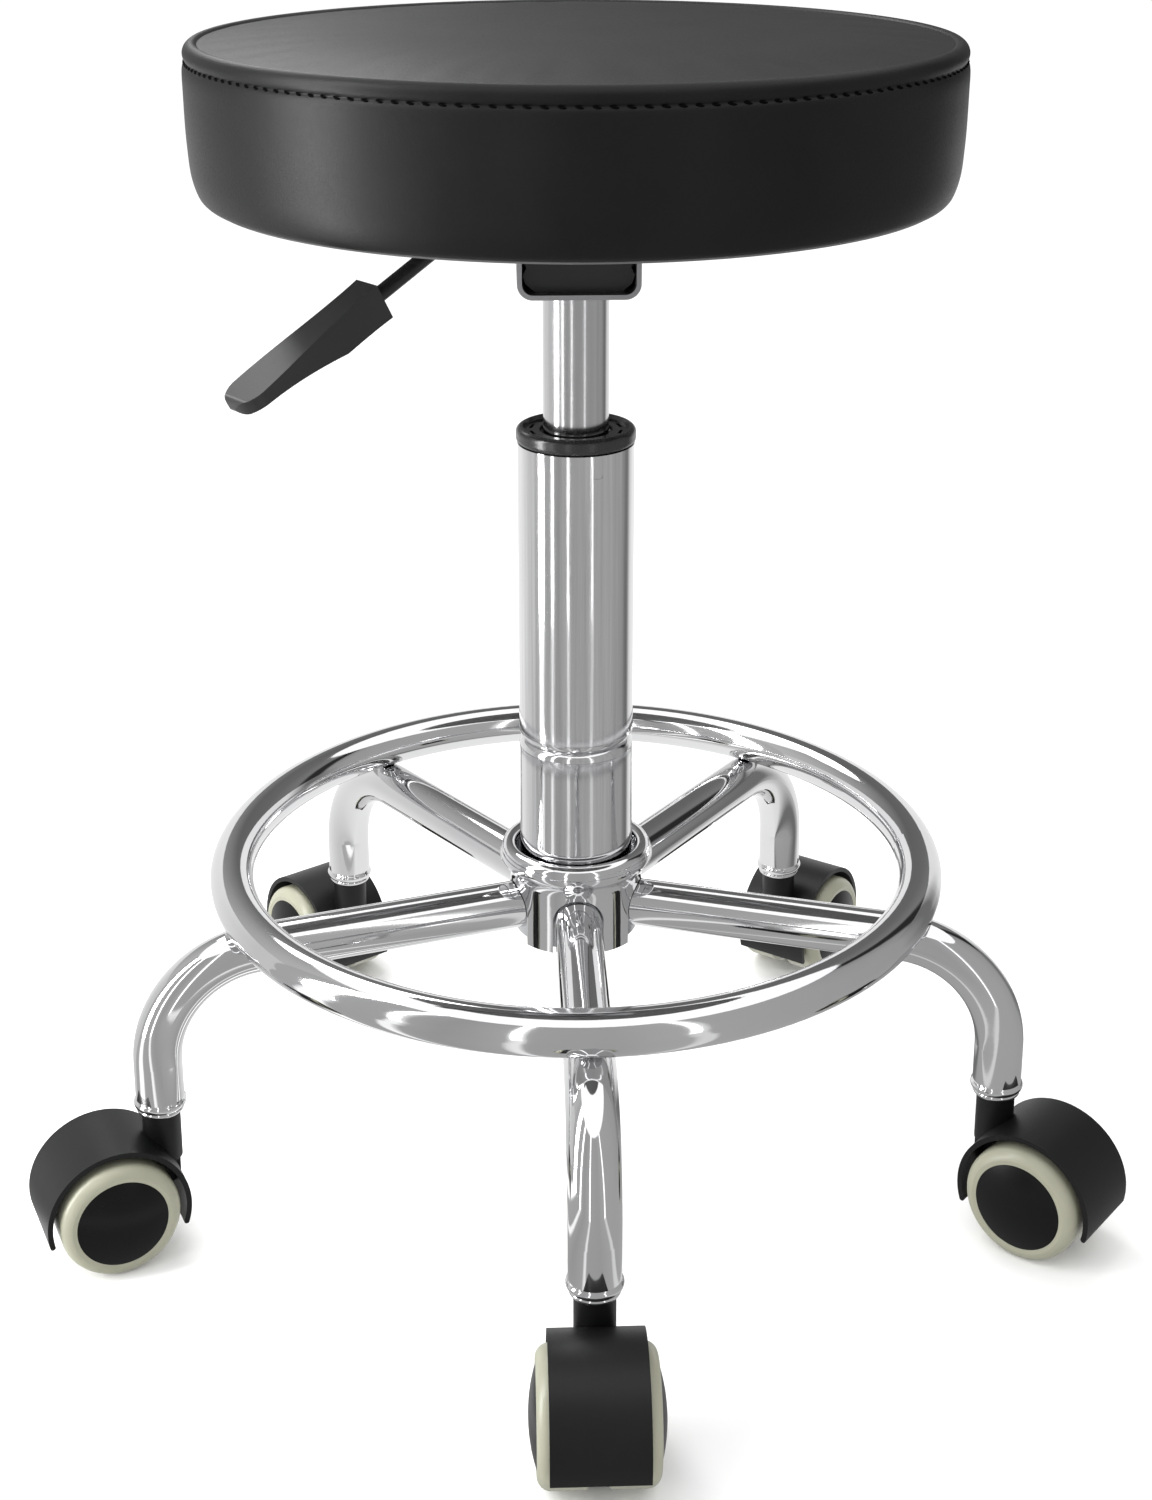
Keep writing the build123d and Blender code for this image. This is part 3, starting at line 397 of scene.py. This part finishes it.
prof, crease_row, seam_row = cushion_mesh()
verts, faces, rows = lathe(prof, SEG, CX, CY)
cover_me = mesh_from("seat_cover_leather", verts, faces)


def inflate(me, pinned, frames=20, pressure=4.0, cap=2.5 * mm):
    """Cloth pressure blows the cover up against its pinned seams; each point moves no further than the cap."""
    rest = np.empty(len(me.vertices) * 3)
    me.vertices.foreach_get("co", rest)
    rest = rest.reshape(-1, 3).copy()
    ob = bpy.data.objects.new("cover_sim", me.copy())
    scene.collection.objects.link(ob)
    vg = ob.vertex_groups.new(name="pins")
    vg.add(sorted(pinned), 1.0, "REPLACE")
    md = ob.modifiers.new("cloth", "CLOTH")
    st = md.settings
    st.quality = 6
    st.mass = 0.35
    st.use_pressure = True
    st.uniform_pressure_force = pressure
    st.tension_stiffness = 25.0
    st.compression_stiffness = 25.0
    st.shear_stiffness = 12.0
    st.bending_stiffness = 4.0
    st.tension_damping = st.compression_damping = st.shear_damping = 12.0
    st.air_damping = 3.0
    st.vertex_group_mass = "pins"
    st.effector_weights.gravity = 0.0
    md.collision_settings.use_collision = False
    md.collision_settings.use_self_collision = False
    md.point_cache.frame_start, md.point_cache.frame_end = 1, frames
    for f in range(1, frames + 1):
        scene.frame_set(f)
    dg = bpy.context.evaluated_depsgraph_get()
    ev = ob.evaluated_get(dg)
    co = np.empty(len(ev.data.vertices) * 3)
    ev.data.vertices.foreach_get("co", co)
    co = co.reshape(-1, 3)
    move = co - rest
    length = np.linalg.norm(move, axis=1)
    # a soft cap: short moves stay as they are, long ones approach the cap
    scale = np.where(length > 1e-9, cap * np.tanh(length / cap) / np.maximum(length, 1e-9), 0.0)
    moved = rest + move * scale[:, None]
    bpy.data.objects.remove(ob, do_unlink=True)
    scene.frame_set(1)
    return rest, moved


def relax_rows(pts, rows, times=2):
    """Evens the sheet along each ring, so that the seam's tucks are the only ripples left."""
    p = pts.copy()
    for row in rows:
        if len(row) < 3:
            continue
        idx = np.array(row)
        for _ in range(times):
            q = p[idx]
            p[idx] = 0.5 * q + 0.25 * (np.roll(q, 1, 0) + np.roll(q, -1, 0))
    return p


pinned = set(rows[crease_row]) | set(rows[seam_row]) | set(rows[seam_row + 1])
for r in rows[-8:]:
    pinned |= set(r)
base_pts, blown = inflate(cover_me, pinned)
pts = relax_rows(blown, rows, 3)

# the seam: small uneven tucks along it, held down by the thread
STITCH = 165
ang = np.arange(SEG * 1.0)
rng = np.random.default_rng(7)
jitter = rng.normal(0, 1, 64)


def tuck(a):
    """Small uneven tucks along the seam, the same every run."""
    s = 0.0
    for k in range(8):
        s += jitter[k] * math.sin((5 + 7 * k) * a + jitter[8 + k] * 6.0)
    return s / 8.0


centre = np.array([CX, CY])
for k, row in enumerate(rows):
    if len(row) < 3:
        continue
    near_seam = math.exp(-((k - seam_row - 0.5) / 5.0) ** 2)
    if near_seam < 0.02:
        continue
    for i, vi in enumerate(row):
        a = 2 * math.pi * i / SEG
        out = np.array([math.cos(a), math.sin(a)])
        pts[vi, :2] += out * (0.00022 * tuck(a) * near_seam)
        pts[vi, 2] += 0.00025 * tuck(a * 1.0 + 0.4) * near_seam

cover_me.vertices.foreach_set("co", pts.reshape(-1).astype(np.float32))
cover_me.update()
cover = link(cover_me, "seat_cover_leather", "seat", LEATHER)
sub = cover.modifiers.new("subdivision", "SUBSURF")
sub.levels = sub.render_levels = 1
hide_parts("seat_cover")

# the foam, drawn in under the cover and wrapped round the board's edge
b_lo, b_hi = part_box("seat_board")
BOARD_R = (b_hi.x - b_lo.x) / 2


def inset(profile, by):
    """The same outline, moved inwards by a skin's thickness."""
    out = []
    for i, (r, z) in enumerate(profile):
        a, b = profile[max(i - 1, 0)], profile[min(i + 1, len(profile) - 1)]
        dr, dz = b[0] - a[0], b[1] - a[1]
        n = math.hypot(dr, dz) or 1.0
        out.append((max(r + dz / n * by, 0.0) if i else 0.0, z - dr / n * by))
    return out


foam_outer = []
for r, z in inset(prof, 1.9 * mm):
    if z < b_lo.z + 0.3 * mm and r < SR - 6 * mm and foam_outer:
        break
    if not foam_outer or r > foam_outer[-1][0] or z < foam_outer[-1][1]:
        foam_outer.append((r, z))
foam_prof = foam_outer + [(BOARD_R + 0.6 * mm, b_lo.z + 0.4 * mm), (BOARD_R + 0.3 * mm, b_lo.z + 1.0 * mm),
                          (BOARD_R + 0.3 * mm, b_hi.z + 0.3 * mm), (0.0, b_hi.z + 0.3 * mm)]
fv, ff, _ = lathe(foam_prof, 144, CX, CY)
foam = link(mesh_from("seat_foam_pad", fv, ff), "seat_foam_pad", "seat", FOAM)
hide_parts("seat_foam")


def stitches(name, count, radius, z, length, thick, dip):
    """Top stitching: each stitch is a short rounded thread that dips in at both ends."""
    V, F = [], []
    sides, steps = 6, 6
    for s in range(count):
        a0 = 2 * math.pi * s / count
        span = length / radius
        base = len(V)
        for k in range(steps + 1):
            t = k / steps
            a = a0 + (t - 0.5) * span
            lift = math.sin(math.pi * t) ** 0.7
            r = radius - dip * (1 - lift)
            w = thick * (0.55 + 0.45 * lift)
            zz = z - (t - 0.5) * 0.0009
            for j in range(sides):
                b = 2 * math.pi * j / sides
                rr = r + w * math.cos(b)
                V.append((CX + rr * math.cos(a), CY + rr * math.sin(a), zz + w * math.sin(b)))
        for k in range(steps):
            for j in range(sides):
                j2 = (j + 1) % sides
                F.append((base + k * sides + j, base + k * sides + j2, base + (k + 1) * sides + j2, base + (k + 1) * sides + j))
        F.append(tuple(base + j for j in reversed(range(sides))))
        F.append(tuple(base + steps * sides + j for j in range(sides)))
    return mesh_from(name, V, F)


st = link(stitches("seat_top_stitching", STITCH, SR - 1.25 * mm, SEAM_Z - 0.35 * mm, 4.0 * mm, 0.52 * mm, 0.7 * mm),
          "seat_top_stitching", "seat", THREAD)


# ------------------------------------------------------------------- stage
def plane(name, size, loc, mat, rot=(0, 0, 0)):
    me = bpy.data.meshes.new(name)
    hx, hy = size[0] / 2, size[1] / 2
    me.from_pydata([(-hx, -hy, 0), (hx, -hy, 0), (hx, hy, 0), (-hx, hy, 0)], [], [(0, 1, 2, 3)])
    ob = bpy.data.objects.new(name, me)
    ob.location, ob.rotation_euler = loc, rot
    me.materials.append(mat)
    scene.collection.objects.link(ob)
    return ob


def matte(name, value):
    m, nt, sh = new_mat(name)
    sh.inputs["Base Color"].default_value = (value, value, value, 1)
    sh.inputs["Roughness"].default_value = 1.0
    sh.inputs["Specular IOR Level"].default_value = 0.0
    return m


floor = plane("floor", (14, 14), (0, 0, 0), matte("floor_white", 0.97))
floor.visible_glossy = False
def area(name, size, loc, target, power, diffuse=1.0, glossy=1.0):
    li = bpy.data.lights.new(name, "AREA")
    li.shape = "RECTANGLE"
    li.size, li.size_y = size
    li.energy = power
    li.diffuse_factor, li.specular_factor = diffuse, glossy
    ob = bpy.data.objects.new(name, li)
    ob.location = loc
    d = Vector(target) - Vector(loc)
    ob.rotation_euler = d.to_track_quat("-Z", "Y").to_euler()
    ob.visible_camera = False
    scene.collection.objects.link(ob)
    return ob


world = bpy.data.worlds.new("studio")
scene.world = world
world.use_nodes = True
wn = world.node_tree
wn.nodes.clear()
w_out = wn.nodes.new("ShaderNodeOutputWorld")
w_bg = wn.nodes.new("ShaderNodeBackground")
w_bg.inputs["Color"].default_value = (1, 1, 1, 1)
w_bg.inputs["Strength"].default_value = 1.06
wn.links.new(w_bg.outputs["Background"], w_out.inputs["Surface"])

def at(az, radius, z):
    """Point around the column; az in degrees from the photo's side, + to the right."""
    t = math.radians(az)
    return (CX + radius * math.sin(t), CY - radius * math.cos(t), z)


def surround(name, radius, height, stops):
    """Grey studio wall that only glossy surfaces see: softer reflections than an empty white room."""
    seg = 144
    V, F = [], []
    for i in range(seg):
        x, y, _ = at(360.0 * i / seg, radius, 0)
        V += [(x - CX, y - CY, 0.0), (x - CX, y - CY, height)]
    for i in range(seg):
        j = (i + 1) % seg
        F.append((2 * i, 2 * j, 2 * j + 1, 2 * i + 1))
    me = bpy.data.meshes.new(name)
    me.from_pydata(V, [], F)
    m = bpy.data.materials.new(name)
    m.use_nodes = True
    nt = m.node_tree
    nt.nodes.clear()
    out = nt.nodes.new("ShaderNodeOutputMaterial")
    em = nt.nodes.new("ShaderNodeEmission")
    grad = nt.nodes.new("ShaderNodeTexGradient")
    grad.gradient_type = "RADIAL"
    nt.links.new(coords(nt), grad.inputs["Vector"])
    full = []
    for az, v in stops:
        # radial gradient: angle from +X over a full turn, plus a half
        ang = math.radians(az - 90.0)
        full.append(((math.atan2(math.sin(ang), math.cos(ang)) / (2 * math.pi) + 0.5) % 1.0, v))
    full.sort()
    nt.links.new(ramp(nt, grad.outputs["Fac"], full), em.inputs["Color"])
    em.inputs["Strength"].default_value = 1.0
    nt.links.new(em.outputs["Emission"], out.inputs["Surface"])
    me.materials.append(m)
    ob = bpy.data.objects.new(name, me)
    ob.location = (CX, CY, 0.002)
    scene.collection.objects.link(ob)
    ob.visible_camera = ob.visible_diffuse = ob.visible_shadow = ob.visible_transmission = False
    return ob


LINES = [(-179, 0.16), (-150, 0.30), (-120, 0.50), (-95, 0.60), (-82, 0.52), (-80, 0.52), (-78, 1.5), (-69, 1.5), (-67, 0.50),
         (-52, 0.48), (-51, 1.3), (-47, 1.3), (-46, 0.48), (-36, 0.42), (-19, 0.50), (-18, 1.1), (-15, 1.1), (-14, 0.46),
         (8, 0.44), (26, 0.50), (27, 0.85), (31, 0.85), (32, 0.47), (70, 0.46), (98, 0.42), (108, 0.34), (112, 0.03),
         (122, 0.03), (127, 0.24), (150, 0.18)]
surround("studio_wall", 0.80, 1.05, LINES)
# the white backdrop behind the foot ring, low down
LOW_LINES = [(-179, 1.05), (-150, 1.05), (-125, 0.95), (-100, 0.75)] + [p for p in LINES if -90 < p[0] < 100] + [(112, 0.20), (118, 0.20), (130, 0.95), (150, 1.05)]
surround("studio_wall_low", 0.79, 0.40, LOW_LINES)


def card(name, size, loc, value, target=None):
    """Grey card that only glossy surfaces see."""
    m = bpy.data.materials.new(name)
    m.use_nodes = True
    nt = m.node_tree
    nt.nodes.clear()
    out = nt.nodes.new("ShaderNodeOutputMaterial")
    em = nt.nodes.new("ShaderNodeEmission")
    em.inputs["Color"].default_value = (value, value, value, 1.0)
    nt.links.new(em.outputs["Emission"], out.inputs["Surface"])
    ob = plane(name, size, loc, m)
    if target:
        ob.rotation_euler = (Vector(target) - Vector(loc)).to_track_quat("-Z", "Y").to_euler()
    ob.visible_camera = ob.visible_diffuse = ob.visible_shadow = ob.visible_transmission = False
    return ob


card("ceiling_card", (3.2, 3.2), (CX, CY, 1.75), 1.45, target=(CX, CY, 0.0))
# the wall's tones run on over the floor, as they do in a glossy tube's reflection
sheen = surround("floor_reflection", 0.80, 0.01, LOW_LINES)
disc = bpy.data.meshes.new("floor_disc")
ring_pts = [(6.0 * math.cos(2 * math.pi * i / 96), 6.0 * math.sin(2 * math.pi * i / 96), 0.0) for i in range(96)]
disc.from_pydata([(0.0, 0.0, 0.0)] + ring_pts, [], [(0, 1 + i, 1 + (i + 1) % 96) for i in range(96)])
disc.materials.append(sheen.data.materials[0])
sheen.data = disc
sheen.location = (CX, CY, -0.0008)


def strip(name, az, width, height, z, radiance, radius=0.74):
    """Tall narrow soft box: a sharp line on chrome and a broad sheen on vinyl."""
    loc = at(az, radius, z)
    return area(name, (width, height), loc, (CX, CY, z), radiance * math.pi * width * height)


strip("strip_left", -73, 0.13, 1.15, 0.58, 18.0)
strip("strip_left_thin", -49, 0.035, 1.15, 0.58, 4.5)
strip("strip_front", -17, 0.035, 1.15, 0.58, 2.2)
strip("strip_right", 28, 0.04, 1.15, 0.58, 1.3)
area("top_soft", (1.4, 1.4), (CX - 0.5, CY + 0.3, 2.0), (CX, CY, 0.3), 22)
area("back_left", (0.55, 0.6), at(-150, 0.76, 0.90), (CX, CY, 0.6), 4.2 * math.pi * 0.55 * 0.6)
